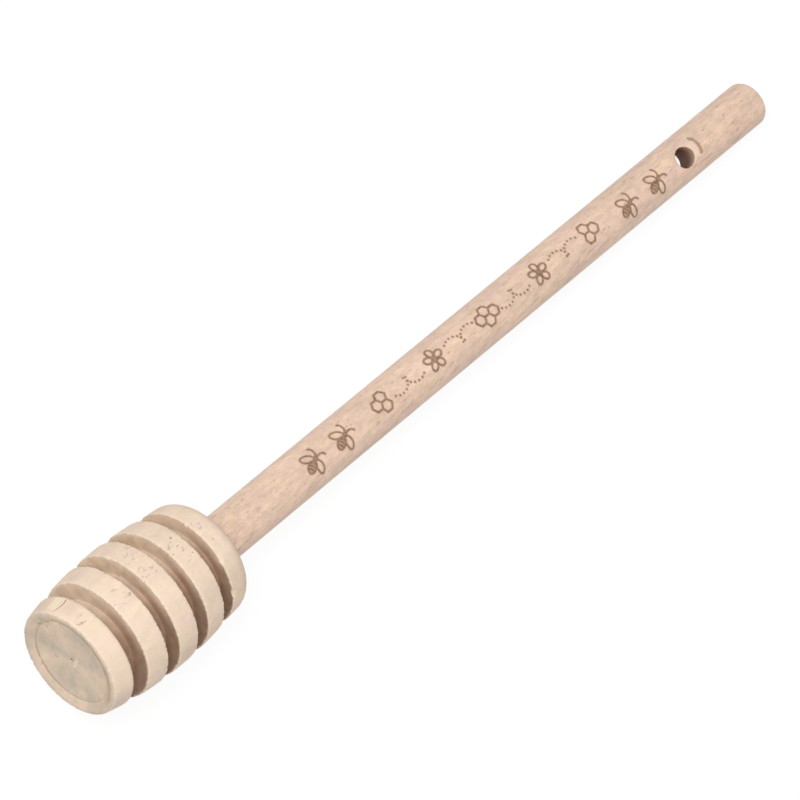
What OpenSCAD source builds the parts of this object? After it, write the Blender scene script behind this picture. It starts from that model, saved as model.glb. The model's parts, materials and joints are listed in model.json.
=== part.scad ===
// Honey dipper: a grooved barrel head glued on a long round handle that has a
// slanted hang hole near its end. The dipper lies on its side, as it does on a
// table: one rib and the foot of the handle touch z = 0.
// Lengths are in millimetres and angles in degrees.

/* [Overall] */
// Length from the front rim to the end of the handle
total_len = 203; // [150:1:260]

/* [Handle] */
// Diameter of the round rod
handle_d = 9.5; // [8:0.1:11]
// Radius of the rounded end
end_round = 1.4; // [1:0.1:3]
// Chamfer on the end that goes into the head
tenon_chamfer = 0.6; // [0.2:0.1:1.2]

/* [Hang hole] */
// Diameter of the hang hole
hole_d = 4.6; // [3:0.1:5.5]
// Distance from the end of the handle to the middle of the hole
hole_from_end = 23.8; // [14:0.2:40]
// How far the drilling leans from square to the rod
hole_lean = 18.5; // [0:0.5:20]

/* [Head] */
// Length of the head
head_len = 37; // [36:1:46]
// Greatest diameter of the barrel
head_d = 26.2; // [24:0.2:34]
// Distance from the front rim to the greatest diameter
widest_at = 18; // [15:1:22]
// Radius of the barrel's outline
barrel_r = 80; // [60:1:120]
// Radius of the rounded rear shoulder
shoulder_r = 3; // [1:0.5:4]
// Radius that rounds the edge of the front rim
rim_round = 0.4; // [0.2:0.1:0.8]

/* [Grooves] */
// Number of grooves round the head
groove_count = 4; // [2:1:4]
// Width of a groove
groove_w = 3; // [2:0.1:3.5]
// Depth of a groove below the barrel's outline
groove_depth = 3.5; // [2:0.1:4]
// Distance from one groove to the next
groove_pitch = 7.85; // [6:0.05:8]
// Width of the first rib, in front of the first groove
first_rib_w = 4.6; // [3:0.1:5]
// Chamfer that breaks both edges of a groove
edge_break = 0.25; // [0.1:0.05:0.4]

/* [Front dish] */
// Width of the flat rim left round the dish
rim_flat = 0.5; // [0.4:0.1:1]
// Width of the dish's sloping wall
dish_wall = 1.2; // [1:0.1:3]
// Depth of the dish
dish_depth = 0.6; // [0.3:0.1:1.5]

/* [Glued joint] */
// Depth of the drilled socket, up to the start of its point
socket_depth = 20; // [14:1:24]
// Angle of the drill's point
drill_point = 118; // [90:1:135]
// Clearance between the rod and the socket's wall
glue_gap = 0.1; // [0.05:0.01:0.2]
// Room left under the end of the rod
end_gap = 0.8; // [0.4:0.1:1.5]

/* [Hidden] */

// Facets of a full turn, fine enough to be taken as true circles
turn_fn = 128;
// How far a cut runs past the face that it opens
past = 1;

handle_r = handle_d / 2;
socket_r = handle_r + glue_gap;
point_len = socket_r / tan(drill_point / 2);

// Radius at which the barrel's outline has its centre, beyond the axis
barrel_c = head_d / 2 - barrel_r;
function barrel_at(x) = barrel_c + sqrt(pow(barrel_r, 2) - pow(x - widest_at, 2));

front_r = barrel_at(0);
rear_r = barrel_at(head_len - shoulder_r);
dish_r = front_r - rim_round - rim_flat;

// Places along the axis, from the front rim
socket_floor = head_len - socket_depth;
tenon_start = socket_floor + end_gap;
hole_at = total_len - hole_from_end;

// The lie: the tangent to the barrel and to the handle's end is the table
span = total_len - end_round - widest_at;
drop = handle_r - end_round - barrel_c;
lie_a = asin((barrel_r - end_round) / norm([span, drop])) - atan2(drop, span);
lie_z = (total_len - end_round) * sin(lie_a) + (handle_r - end_round) * cos(lie_a) + end_round;
lie_front = rim_round * cos(lie_a) - (front_r - rim_round) * sin(lie_a) - rim_round;
lie_back = (total_len - end_round) * cos(lie_a) + (handle_r - end_round) * sin(lie_a) + end_round;

// Lays a piece that was turned on the Z axis down on the table
module lie() {
    translate([-(lie_front + lie_back) / 2, 0, lie_z])
        rotate([0, lie_a, 0])
            rotate([0, 90, 0])
                children();
}

// What a rounding of radius r takes off a square corner that points to +X -Y
module corner(r) {
    translate([-r, 0])
        difference() {
            translate([0, -past])
                square([r + past, r + past]);
            translate([0, r])
                circle(r = r, $fn = turn_fn);
        }
}

// Outline of one groove, radius across and axis up, from its front edge
module groove(radius) {
    floor_r = radius - groove_depth;
    reach = past + edge_break;
    polygon([
        [floor_r, 0],
        [radius - edge_break, 0],
        [radius + past, -reach],
        [radius + past, groove_w + reach],
        [radius - edge_break, groove_w],
        [floor_r, groove_w]
    ]);
}

// Half outline of the head: the barrel with its front rim and rear shoulder
module barrel_outline() {
    difference() {
        intersection() {
            translate([barrel_c, widest_at])
                circle(r = barrel_r, $fn = 4 * turn_fn);
            square([head_d, head_len]);
        }
        translate([front_r, 0])
            corner(rim_round);
        translate([rear_r, head_len])
            mirror([0, 1])
                corner(shoulder_r);
    }
}

// Solid that fills the drilled socket, from its point out past its mouth
module socket_space(r, mouth) {
    rotate_extrude($fn = turn_fn)
        polygon([
            [0, socket_floor - point_len],
            [r, socket_floor],
            [r, head_len + mouth],
            [0, head_len + mouth]
        ]);
}

// Rod blank: chamfered where it enters the head, rounded at its free end
module rod() {
    rotate_extrude($fn = turn_fn)
        difference() {
            translate([0, tenon_start])
                square([handle_r, total_len - tenon_start]);
            translate([handle_r, total_len])
                mirror([0, 1])
                    corner(end_round);
            translate([handle_r, tenon_start])
                rotate(45)
                    square(tenon_chamfer * sqrt(2), center = true);
        }
}

module dipper_head() {
    color([0.93, 0.85, 0.75])
        lie()
            difference() {
                rotate_extrude($fn = turn_fn)
                    difference() {
                        barrel_outline();
                        for (i = [0 : groove_count - 1]) {
                            start = first_rib_w + i * groove_pitch;
                            translate([0, start])
                                groove(barrel_at(start + groove_w / 2));
                        }
                    }
                cylinder(r1 = dish_r, r2 = dish_r - dish_wall, h = dish_depth, $fn = turn_fn);
                socket_space(socket_r, past);
            }
}

module handle() {
    color([0.87, 0.75, 0.65])
        lie()
            difference() {
                rod();
                translate([0, 0, hole_at])
                    rotate([0, 90 - hole_lean, 0])
                        cylinder(d = hole_d, h = 3 * handle_d, center = true, $fn = turn_fn);
            }
}

// Cured glue: the film round the rod and the pool under its end
module glue_bond() {
    color([0.90, 0.84, 0.68])
        lie()
            difference() {
                socket_space(socket_r, 0);
                rod();
            }
}

dipper_head();
handle();
glue_bond();
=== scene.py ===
# %% [markdown]
# # A turned honey dipper
# A honey dipper is two pieces of wood: a barrel head with turned grooves, and a
# round rod that is glued into it. The measured solids already exist. This lesson
# loads them as a fixed frame and models the visible wood over them: soft turned
# edges, small tears, a split, and figures that are burnt into the rod.

# %% Load the solids as a fixed frame
import json
import math
import random

import bmesh
import bpy
from mathutils import Matrix, Vector, kdtree, noise


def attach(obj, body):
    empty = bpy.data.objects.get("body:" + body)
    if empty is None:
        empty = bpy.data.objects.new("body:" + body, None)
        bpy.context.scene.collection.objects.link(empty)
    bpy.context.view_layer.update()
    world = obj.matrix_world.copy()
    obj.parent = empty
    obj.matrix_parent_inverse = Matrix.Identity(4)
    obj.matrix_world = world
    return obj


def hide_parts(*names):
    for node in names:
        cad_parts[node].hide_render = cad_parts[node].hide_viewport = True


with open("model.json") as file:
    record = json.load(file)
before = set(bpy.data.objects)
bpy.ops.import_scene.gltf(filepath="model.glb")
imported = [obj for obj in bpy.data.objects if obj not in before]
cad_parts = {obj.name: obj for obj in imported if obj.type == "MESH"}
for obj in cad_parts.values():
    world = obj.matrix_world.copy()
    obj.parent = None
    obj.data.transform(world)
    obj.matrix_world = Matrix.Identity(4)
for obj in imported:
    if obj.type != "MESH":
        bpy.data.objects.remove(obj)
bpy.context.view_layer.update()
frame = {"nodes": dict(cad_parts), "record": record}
print("nodes:", sorted(frame["nodes"]))

# %% [markdown]
# ## The dipper's own axes
# The dipper lies on its side and slopes a little, because the head is thicker than
# the rod. It is easier to shape it as a turner sees it, with x along its axis from
# the front rim, y sideways, z up, and lengths in millimetres. One matrix then lays
# the finished mesh on the table. The frame's two mounts give that matrix: the front
# rim faces along the axis, and the hang hole's middle lies on the axis.

# %% The matrix that lays a turned piece on the table
MM = 0.001
hole_at = 179.2

mounts = {mount["name"]: mount for mount in frame["record"]["mounts"]}
along = -Vector(mounts["front_rim"]["axis"]).normalized()
sideways = Vector((0.0, 1.0, 0.0))
up = along.cross(sideways)
front = Vector(mounts["hang_hole"]["pos_m"]) - along * hole_at * MM
turned_axes = Matrix((along, sideways, up)).transposed()
lay = Matrix.Translation(front) @ turned_axes.to_4x4() @ Matrix.Scale(MM, 4)
print("the axis slopes by", round(math.degrees(math.asin(-along.z)), 2), "degrees")

# %% [markdown]
# ## The camera
# The photograph is taken from above the head, with a long lens. A long lens keeps
# the rod's sides almost parallel.

# %% Camera
camera_data = bpy.data.cameras.new("camera")
camera_data.lens = 221.75
camera_data.sensor_width = 36.0
camera = bpy.data.objects.new("camera", camera_data)
camera.location = (-0.493898, 0.068244, 0.803746)
camera.rotation_euler = [math.radians(angle) for angle in (17.007, -27.0744, -42.089)]
bpy.context.scene.collection.objects.link(camera)
bpy.context.scene.camera = camera
bpy.context.scene.view_settings.view_transform = "Standard"
print("camera distance in metres:", round(camera.location.length, 3))

# %% [markdown]
# ## Outlines for the lathe
# A turned piece is one outline spun round its axis. The outline is a chain of
# edges. Each corner can be rounded by a vertex bevel, as the turner's sandpaper
# does, and then long edges are divided, so that the wood has enough points for its
# small marks. A lathe would also be possible with the Screw modifier, but the spin
# operator leaves plain vertices that the next steps can move.


# %% Spin an outline
rounding_step = 0.25


def chain(bm, corners):
    """Joins (x, radius, rounding) corners by edges and rounds the corners."""
    points = [bm.verts.new((x, 0.0, radius)) for x, radius, rounding in corners]
    for start, end in zip(points, points[1:]):
        bm.edges.new((start, end))
    for point, (x, radius, rounding) in zip(points, corners):
        if rounding > 0.0:
            bmesh.ops.bevel(bm, geom=[point], offset=rounding, segments=2 + int(rounding / rounding_step),
                            profile=0.5, affect="VERTICES", material=-1)


def middle_of(edge):
    """Middle of an edge, the same whichever end comes first."""
    return (edge.verts[0].co + edge.verts[1].co) / 2


def divide(bm, spacing_at):
    """Divides each edge of the outline to the spacing wanted at its place."""
    for edge in list(bm.edges):
        middle = middle_of(edge)
        cuts = int(edge.calc_length() / spacing_at(middle.x, middle.z))
        if cuts > 0:
            bmesh.ops.subdivide_edges(bm, edges=[edge], cuts=cuts)


def spin_round(bm, steps):
    """Turns the outline about the x axis into a closed skin."""
    bmesh.ops.spin(bm, geom=bm.verts[:] + bm.edges[:], cent=(0, 0, 0), axis=(1, 0, 0),
                   angle=math.tau, steps=steps, use_merge=True)
    bmesh.ops.remove_doubles(bm, verts=bm.verts[:], dist=0.0001)
    bmesh.ops.recalc_face_normals(bm, faces=bm.faces[:])


def angle_of(place):
    """Angle round the axis in radians, from the top towards +y."""
    return math.atan2(place.y, place.z)


def on_round(x, angle, radius):
    """Point at an angle in radians on a circle about the axis."""
    return Vector((x, radius * math.sin(angle), radius * math.cos(angle)))


# %% [markdown]
# ## The head's outline
# The head is a barrel, 26 mm at its widest, with four grooves that hold the honey.
# Its front is dished and its rear shoulder is round. The sizes repeat those of the
# solid. The rear edge of the first rib is worn rounder than the others. The point of
# the turning tool left a thin line round the dish's floor.

# %% Sizes of the head
head_len = 37.0
head_r = 13.1
widest_at = 18.0
barrel_r = 80.0
shoulder_r = 3.0
rim_round = 0.4
first_rib_w = 4.6
groove_pitch = 7.85
groove_starts = [first_rib_w + i * groove_pitch for i in range(4)]
groove_w = 3.0
groove_depth = 3.5
dish_r = 10.149
dish_floor_r = 8.949
dish_depth = 0.6
tool_line_w = 0.4
tool_line_depth = 0.22
socket_r = 4.85
socket_floor = 17.0
socket_point = 14.086
edge_soft = 0.2
worn_edge = 0.8
floor_soft = 0.25
dish_soft = 0.12
mouth_soft = 0.15
just_under = 0.01


def barrel_at(x):
    """Radius of the barrel's outline at x."""
    return head_r - barrel_r + math.sqrt(barrel_r ** 2 - (x - widest_at) ** 2)


print("front radius:", round(barrel_at(0.0), 3))

# %% Corners of the head's outline
# Each corner is (x, radius, rounding)
head_outline = [(dish_depth, 0.0, 0.0), (dish_depth, dish_floor_r - tool_line_w, 0.0),
                (dish_depth + tool_line_depth, dish_floor_r - tool_line_w / 2, 0.0),
                (dish_depth - 2 * just_under, dish_floor_r, 0.0), (0.0, dish_r, dish_soft),
                (0.0, barrel_at(0.0), rim_round)]
rib_start = 0.0
for i, start in enumerate(groove_starts):
    floor_r = barrel_at(start + groove_w / 2) - groove_depth
    crown = [rib_start + (start - rib_start) * share for share in (0.25, 0.5, 0.75)]
    head_outline += [(x, barrel_at(x), 0.0) for x in crown]
    head_outline.append((start, barrel_at(start), worn_edge if i == 0 else edge_soft))
    head_outline.append((start, floor_r, floor_soft))
    head_outline.append((start + groove_w, floor_r, floor_soft))
    head_outline.append((start + groove_w, barrel_at(start + groove_w), edge_soft))
    rib_start = start + groove_w
head_outline += [(head_len, barrel_at(head_len - shoulder_r), shoulder_r - just_under),
                 (head_len, socket_r, mouth_soft), (socket_floor, socket_r, 0.0),
                 (socket_point, 0.0, 0.0)]
print("corners in the head's outline:", len(head_outline))

# %% [markdown]
# The outline is spun in 288 steps, which is a point every 0.3 mm round the widest
# rib. The socket is never seen, so it stays coarse.

# %% Turn the head
head_steps = 288
fine_head = 0.34
coarse_socket = 2.0


def head_spacing(x, radius):
    """Wanted spacing of the points at a place of the outline."""
    inside = radius < socket_r + just_under and x > dish_depth + 0.1
    return coarse_socket if inside else fine_head


head_bm = bmesh.new()
chain(head_bm, head_outline)
divide(head_bm, head_spacing)
spin_round(head_bm, head_steps)
print("points in the head:", len(head_bm.verts))

# %% [markdown]
# ## Tears, chips and a split
# Turned wood is never quite smooth. Fibres tear out of the ribs, edges crumble, and
# here the front rib has split along the grain, with a paler flake beside the split.
# The points near the split are divided once more first, so that the split can be a
# narrow cut. Each mark moves points and also writes how strong it is into a named
# attribute, which the wood's material reads later.

# %% Places of the marks on the head
# Along the axis in mm, round it in degrees from the top towards +y
split_path = [(4.3, 57.0), (3.2, 55.8), (2.2, 56.4), (1.5, 57.6), (0.9, 59.8)]
flake_x = (0.9, 4.25)
flake_angle = (58.5, 69.5)
# Chips: x, angle, radius and depth
chips = [(31.15, -10.2, 0.7, 0.30), (31.15, -44.3, 0.9, 0.40), (31.15, 35.1, 0.7, 0.30),
         (15.4, 18.0, 0.5, 0.2), (23.4, 33.0, 0.6, 0.2), (23.3, -21.0, 0.5, 0.2), (12.4, 47.0, 0.5, 0.2)]
# Fields of torn fibres: first x, last x, first angle, last angle, count
torn_fields = [(16.0, 19.8, 8.0, 52.0, 34), (23.8, 27.6, 6.0, 34.0, 16), (8.2, 12.0, 10.0, 30.0, 10),
               (31.6, 33.5, 0.0, 40.0, 8), (1.0, 4.0, 20.0, 40.0, 5)]
# Broad stains: x, angle, radius and strength
stains = [(1.6, 88.0, 5.0, 0.7), (3.0, 46.0, 2.6, 0.5), (2.0, -70.0, 4.0, 0.5), (34.5, -35.0, 5.0, 0.7),
          (10.0, 72.0, 3.0, 0.4), (26.0, -25.0, 3.5, 0.4), (18.0, -62.0, 3.5, 0.4)]
# The turning centre's pip, and the three pale crumbs beside it
pip_dark = Vector((dish_depth, 0.3, -0.2))
pip_pale = [Vector((dish_depth, -0.7 + dy, 0.4 + dz)) for dy, dz in ((0.0, 0.0), (-0.35, -0.9), (0.3, 0.8))]
print("chips:", len(chips), "torn fields:", len(torn_fields), "stains:", len(stains))

# %% Divide the wood near the split and the pip
split_x = 2.6
split_zone_r = 3.2
pip_zone_r = 1.6
split_middle = on_round(split_x, math.radians(60.0), barrel_at(split_x))
near_split = [edge for edge in head_bm.edges if (middle_of(edge) - split_middle).length < split_zone_r
              and middle_of(edge).x < first_rib_w - just_under]
bmesh.ops.subdivide_edges(head_bm, edges=near_split, cuts=2, use_grid_fill=True)
near_pip = [edge for edge in head_bm.edges
            if (middle_of(edge) - pip_dark).length < pip_zone_r and edge.calc_length() > 0.15]
bmesh.ops.subdivide_edges(head_bm, edges=near_pip, cuts=2, use_grid_fill=True)
print("points in the head:", len(head_bm.verts))


# %% Helpers that mark the wood
class Marks:
    """Finds points of a mesh near a place, and keeps values for its points."""

    def __init__(self, bm):
        bm.verts.ensure_lookup_table()
        self.verts = bm.verts
        self.tree = kdtree.KDTree(len(bm.verts))
        for vert in bm.verts:
            self.tree.insert(vert.co, vert.index)
        self.tree.balance()
        self.values = {}

    def channel(self, name):
        """The list of one mark's values, one for each point."""
        return self.values.setdefault(name, [0.0] * len(self.verts))

    def raise_to(self, name, index, value):
        channel = self.channel(name)
        channel[index] = max(channel[index], value)

    def near(self, place, radius):
        """Points near a place, each with a share that is 1 at the place and 0 at the radius."""
        for co, index, distance in self.tree.find_range(place, radius):
            yield co, index, 1.0 - (distance / radius) ** 2

    def dent(self, place, radius, depth, name, strength):
        """Presses the points near a place towards the axis, most at its middle."""
        for co, index, share in self.near(place, radius):
            inward = Vector((0.0, -co.y, -co.z)).normalized()
            self.verts[index].co += inward * depth * share
            self.raise_to(name, index, strength * share)


def spaced(path, step):
    """Points at a steady step along a path of vectors."""
    result = [path[0]]
    for start, end in zip(path, path[1:]):
        count = max(1, round((end - start).length / step))
        result += [start.lerp(end, i / count) for i in range(1, count + 1)]
    return result


head_bm.normal_update()
head_marks = Marks(head_bm)
end_grain = head_marks.channel("end_grain")
for vert in head_bm.verts:
    end_grain[vert.index] = abs(vert.normal.x)
print("points that show end grain:", sum(value > 0.7 for value in end_grain))

# %% [markdown]
# ## Wear and painted shade of the turned surface
# One pass over the points gives the head its wear. The dish is hollowed a little, the
# round is no longer true, and the edges of the grooves have frayed. The same pass
# writes four masks for painted shade. Along the tool's line it is faint on two sides of
# the dish, the dish's wall gets it on one side, and the grooves get a little by their
# depth and much more on one side. Noise at a point's place keeps all of it the same in
# each run.

# %% Sizes of the wear
rest_places = [vert.co.copy() for vert in head_bm.verts]
edge_corners = [(x, barrel_at(x)) for start in groove_starts for x in (start, start + groove_w)]
edge_corners.append((0.0, barrel_at(0.0)))
edge_reach = 0.7
fray = 0.24
wave = 0.05
ripple = 0.014
dish_hollow = 0.45
line_spread = 0.45
socket_from = 5.0
# Angles round the axis: where the tool line's painted shade is faintest, and where the painted shade of the
# dish's wall and of the grooves is strongest
line_clear = math.radians(80.0)
shaded_wall_side = math.radians(-15.0)
shaded_groove_side = math.radians(-75.0)


# %% Wear the head and mark its painted shade
def hollow_and_shade_dish(vert, place, radius):
    """Hollows the dish, and marks the painted shade of the tool's line and of the wall."""
    if place.x < dish_depth + tool_line_depth + just_under and radius < dish_floor_r:
        vert.co.x += dish_hollow * (1.0 - (radius / dish_floor_r) ** 2)
    turn = angle_of(place)
    off_line = abs(radius - dish_floor_r + tool_line_w / 2)
    line_faint = 0.5 + 0.5 * math.cos(2.0 * (turn - line_clear))
    line_share = (0.25 + 0.75 * (1.0 - line_faint)) * max(0.0, 1.0 - off_line / line_spread)
    head_marks.raise_to("line_shade", vert.index, line_share)
    if dish_floor_r < radius < dish_r + 0.1:
        head_marks.raise_to("wall_shade", vert.index, 0.5 + 0.5 * math.cos(turn - shaded_wall_side))


def shade_groove(vert, place, radius):
    """Marks how deep a point lies in a groove, and how much painted shade its side gets."""
    head_marks.raise_to("deep", vert.index, (barrel_at(place.x) - radius) / groove_depth)
    groove_shade = 0.5 + 0.5 * math.cos(angle_of(place) - shaded_groove_side)
    head_marks.raise_to("groove_shade", vert.index, groove_shade + 0.08 * noise.noise(place * 0.35))


def fray_edge(vert, place, outward, share):
    """Crumbles an edge, most at its corner."""
    crumble = noise.noise(place * 1.9) + 0.6 * noise.noise(place * 4.3 + Vector((9.0, 0.0, 0.0)))
    vert.co -= outward * fray * share * max(0.0, crumble + 0.15)
    vert.co.x += 0.5 * fray * share * noise.noise(place * 2.7 + Vector((0.0, 5.0, 0.0)))
    head_marks.raise_to("edge", vert.index, share)


for vert in head_bm.verts:
    place = rest_places[vert.index]
    radius = math.hypot(place.y, place.z)
    if radius < socket_r + 0.2 and place.x > socket_from:
        continue
    if place.x < dish_depth + 1.0:
        hollow_and_shade_dish(vert, place, radius)
    if groove_starts[0] - 0.1 < place.x < rib_start + 0.1:
        shade_groove(vert, place, radius)
    outward = Vector((0.0, place.y, place.z)) / max(radius, 0.001)
    slow = noise.noise(place * 0.13) - 0.6
    fine = noise.noise(Vector((place.x * 0.5, place.y * 1.6, place.z * 1.6)))
    vert.co += outward * (wave * slow + ripple * fine) * min(1.0, radius / 4.0)
    near = min(math.hypot(place.x - x, radius - r) for x, r in edge_corners)
    if near < edge_reach:
        fray_edge(vert, place, outward, 1.0 - near / edge_reach)
print("worn edge points:", sum(value > 0.0 for value in head_marks.channel("edge")))

# %% Chips, torn fibres and stains
tear_depth = 0.02
chance = random.Random(11)
for x, degrees, radius, depth in chips:
    head_marks.dent(on_round(x, math.radians(degrees), barrel_at(x)), radius, depth, "torn", 0.8)
for x0, x1, low, high, count in torn_fields:
    for i in range(count):
        x = chance.uniform(x0, x1)
        angle = math.radians(chance.uniform(low, high))
        head_marks.dent(on_round(x, angle, barrel_at(x)), chance.uniform(0.5, 1.1), tear_depth, "torn",
                        chance.uniform(0.5, 1.0))
for x, degrees, radius, strength in stains:
    head_marks.dent(on_round(x, math.radians(degrees), barrel_at(x)), radius, 0.0, "stain", strength)
print("torn points:", sum(value > 0.0 for value in head_marks.channel("torn")))

# %% The split and its flake
split = spaced([on_round(x, math.radians(degrees), barrel_at(x)) for x, degrees in split_path], 0.08)
split_reach = 0.5
split_half_w = 0.22
split_depth = 0.22
flake_depth = 0.07
for spot in split:
    for co, index, distance in head_marks.tree.find_range(spot, split_reach):
        head_marks.raise_to("split", index, split_reach - distance)
for index, value in enumerate(head_marks.channel("split")):
    open_share = max(0.0, value - split_reach + split_half_w) / split_half_w
    outward = Vector((0.0, rest_places[index].y, rest_places[index].z)).normalized()
    head_bm.verts[index].co -= outward * split_depth * open_share
for index, place in enumerate(rest_places):
    degrees = math.degrees(angle_of(place))
    radius = math.hypot(place.y, place.z)
    if flake_x[0] < place.x < flake_x[1] and flake_angle[0] < degrees < flake_angle[1] and radius > 10.6:
        across = min(degrees - flake_angle[0], flake_angle[1] - degrees) / 1.5
        lengthwise = min(place.x - flake_x[0], flake_x[1] - place.x) / 0.4
        share = min(1.0, across, lengthwise)
        head_bm.verts[index].co -= Vector((0.0, place.y, place.z)).normalized() * flake_depth * share
        head_marks.raise_to("flake", index, share)
print("points in the open split:", sum(value > split_reach - split_half_w for value in
                                       head_marks.channel("split")))

# %% The dish: the lathe's pip and torn end grain
pip_r = 0.45
pip_depth = 0.4
crumb_r = 0.5
crumb_lift = 0.07
end_tear_r = 0.55
end_tear_depth = 0.03
for co, index, share in head_marks.near(pip_dark, pip_r):
    head_bm.verts[index].co.x += pip_depth * share
    head_marks.raise_to("pip", index, share)
for spot in pip_pale:
    for co, index, share in head_marks.near(spot, crumb_r):
        head_bm.verts[index].co.x -= crumb_lift * share
        head_marks.raise_to("flake", index, 0.8 * share)

dish_tears = [((8.9, -0.9), (8.5, 2.6)), ((7.9, -0.2), (7.4, 3.9)), ((8.6, 3.4), (7.6, 5.3)),
              ((2.3, -3.5), (2.7, -3.2)), ((1.6, -8.5), (2.2, -8.6)), ((-5.2, 4.6), (-4.8, 5.1))]
for start, end in dish_tears:
    path = spaced([Vector((dish_depth, *start)), Vector((dish_depth, *end))], 0.3)
    for spot in path:
        for co, index, share in head_marks.near(spot, end_tear_r):
            head_bm.verts[index].co.x += end_tear_depth * share
            head_marks.raise_to("torn", index, share * chance.uniform(0.5, 1.0))
print("head marks:", sorted(head_marks.values))


# %% Lay the head on the table
def finish_piece(bm, name, values, body, replaced):
    """Makes the object, with the kept values as attributes of its points."""
    bmesh.ops.transform(bm, matrix=lay, verts=bm.verts[:])
    mesh = bpy.data.meshes.new(name)
    bm.to_mesh(mesh)
    bm.free()
    for label, numbers in values.items():
        layer = mesh.attributes.new(label, "FLOAT", "POINT")
        layer.data.foreach_set("value", numbers)
    mesh.polygons.foreach_set("use_smooth", [True] * len(mesh.polygons))
    mesh.set_sharp_from_angle(angle=math.radians(55.0))
    piece = bpy.data.objects.new(name, mesh)
    bpy.context.scene.collection.objects.link(piece)
    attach(piece, body)
    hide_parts(replaced)
    triangles = sum(len(face.vertices) - 2 for face in mesh.polygons)
    print(name, "has", triangles, "triangles")
    return piece


head = finish_piece(head_bm, "turned_head", head_marks.values, "root", "dipper_head")

# %% [markdown]
# ## The rod
# The handle is a dowel, 9.5 mm thick, with a rounded end and a slanted hole to hang
# it up. The burnt figures are only on its upper side, so the points are crowded
# there: close rings along that stretch, and close steps round the top. The spin
# makes even steps, and one move of the points gathers them.

# %% Turn the rod
rod_r = 4.75
rod_start = 17.8
rod_end = 203.0
rod_chamfer = 0.6
rod_round = 1.4
figures_from = 61.0
figures_to = 184.0
close_rings = 0.16
wide_rings = 1.2
end_rings = 0.45
rod_steps = 94
close_steps = 45
close_low = math.radians(-40.0)
close_high = math.radians(44.0)


def rod_spacing(x, radius):
    """Wanted spacing of the rings at a place of the rod."""
    if figures_from < x < figures_to:
        return close_rings
    return wide_rings if x < figures_from else end_rings


def gather(angle):
    """Moves even steps round the rod to close steps on its upper side."""
    share = (angle % math.tau) / math.tau
    close_share = close_steps / rod_steps
    if share < close_share:
        return close_low + (close_high - close_low) * share / close_share
    rest = (share - close_share) / (1.0 - close_share)
    return close_high + (math.tau - close_high + close_low) * rest


rod_outline = [(rod_start, 0.0, 0.0), (rod_start, rod_r - rod_chamfer, 0.0),
               (rod_start + rod_chamfer, rod_r, 0.0), (figures_from, rod_r, 0.0),
               (figures_to, rod_r, 0.0), (rod_end, rod_r, rod_round), (rod_end, 0.0, 0.0)]
rod_bm = bmesh.new()
chain(rod_bm, rod_outline)
divide(rod_bm, rod_spacing)
spin_round(rod_bm, rod_steps)
for vert in rod_bm.verts:
    radius = math.hypot(vert.co.y, vert.co.z)
    if radius > 0.001:
        vert.co = on_round(vert.co.x, gather(angle_of(vert.co)), radius)
print("points in the rod:", len(rod_bm.verts))

# %% [markdown]
# ## The hang hole
# The hole was drilled at a slant. A drill shape is taken out of the rod with the
# Boolean modifier, which is applied at once. The drill shape has many rings, so that
# the hole's wall can be roughened, and it is deleted afterwards.

# %% Drill the hole
hole_r = mounts["hang_hole"]["dims"]["r_mm"]
hole_world = Vector(mounts["hang_hole"]["axis"])
hole_axis = Vector((hole_world.dot(along), hole_world.dot(sideways), hole_world.dot(up)))
hole_middle = Vector((hole_at, 0.0, 0.0))
drill_len = 14.0
drill_steps = 80
drill_rings = 34
drill_rough = 0.012

drill_bm = bmesh.new()
bmesh.ops.create_cone(drill_bm, cap_ends=True, segments=drill_steps, radius1=hole_r, radius2=hole_r,
                      depth=drill_len)
sides = [edge for edge in drill_bm.edges if abs(edge.verts[0].co.z - edge.verts[1].co.z) > 1.0]
bmesh.ops.subdivide_edges(drill_bm, edges=sides, cuts=drill_rings, use_grid_fill=True)
for vert in drill_bm.verts:
    rough = noise.noise(vert.co * 1.4) + 0.5 * noise.noise(vert.co * 4.0)
    vert.co.xy *= 1.0 - drill_rough * abs(rough)
turn = hole_axis.to_track_quat("Z", "Y").to_matrix().to_4x4()
bmesh.ops.transform(drill_bm, matrix=Matrix.Translation(hole_middle) @ turn, verts=drill_bm.verts[:])


def as_object(bm, name):
    """Makes an object of a finished bmesh."""
    mesh = bpy.data.meshes.new(name)
    bm.to_mesh(mesh)
    bm.free()
    result = bpy.data.objects.new(name, mesh)
    bpy.context.scene.collection.objects.link(result)
    return result


# %% Take the drill out of the rod
blank = as_object(rod_bm, "rod blank")
drill = as_object(drill_bm, "drill")
cut = blank.modifiers.new("hole", "BOOLEAN")
cut.operation = "DIFFERENCE"
cut.solver = "EXACT"
cut.object = drill
drilled = bpy.data.meshes.new_from_object(blank.evaluated_get(bpy.context.evaluated_depsgraph_get()))
rod_bm = bmesh.new()
rod_bm.from_mesh(drilled)
bpy.data.objects.remove(blank)
bpy.data.objects.remove(drill)
bpy.data.meshes.remove(drilled)
bmesh.ops.remove_doubles(rod_bm, verts=rod_bm.verts[:], dist=0.002)
bmesh.ops.recalc_face_normals(rod_bm, faces=rod_bm.faces[:])
print("points in the drilled rod:", len(rod_bm.verts))

# %% [markdown]
# ## The burnt figures
# A hot tool drew four small bees on the rod, with a row of ornament between them. A
# figure is a set of strokes on the unrolled rod: u runs along it and v round it, both
# in millimetres. The strokes become close dots, and each point of the wood then
# finds how deep it lies inside the nearest stroke. That depth presses the surface in
# and is kept as an attribute, so the burnt colour follows it with a sharp edge.


# %% Strokes
def bend(start, pull, end, count=12):
    """A curve from start to end, drawn towards pull."""
    result = []
    for i in range(count + 1):
        t = i / count
        a = (1 - t) ** 2
        b = 2 * t * (1 - t)
        result.append((a * start[0] + b * pull[0] + t * t * end[0],
                       a * start[1] + b * pull[1] + t * t * end[1]))
    return result


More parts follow.
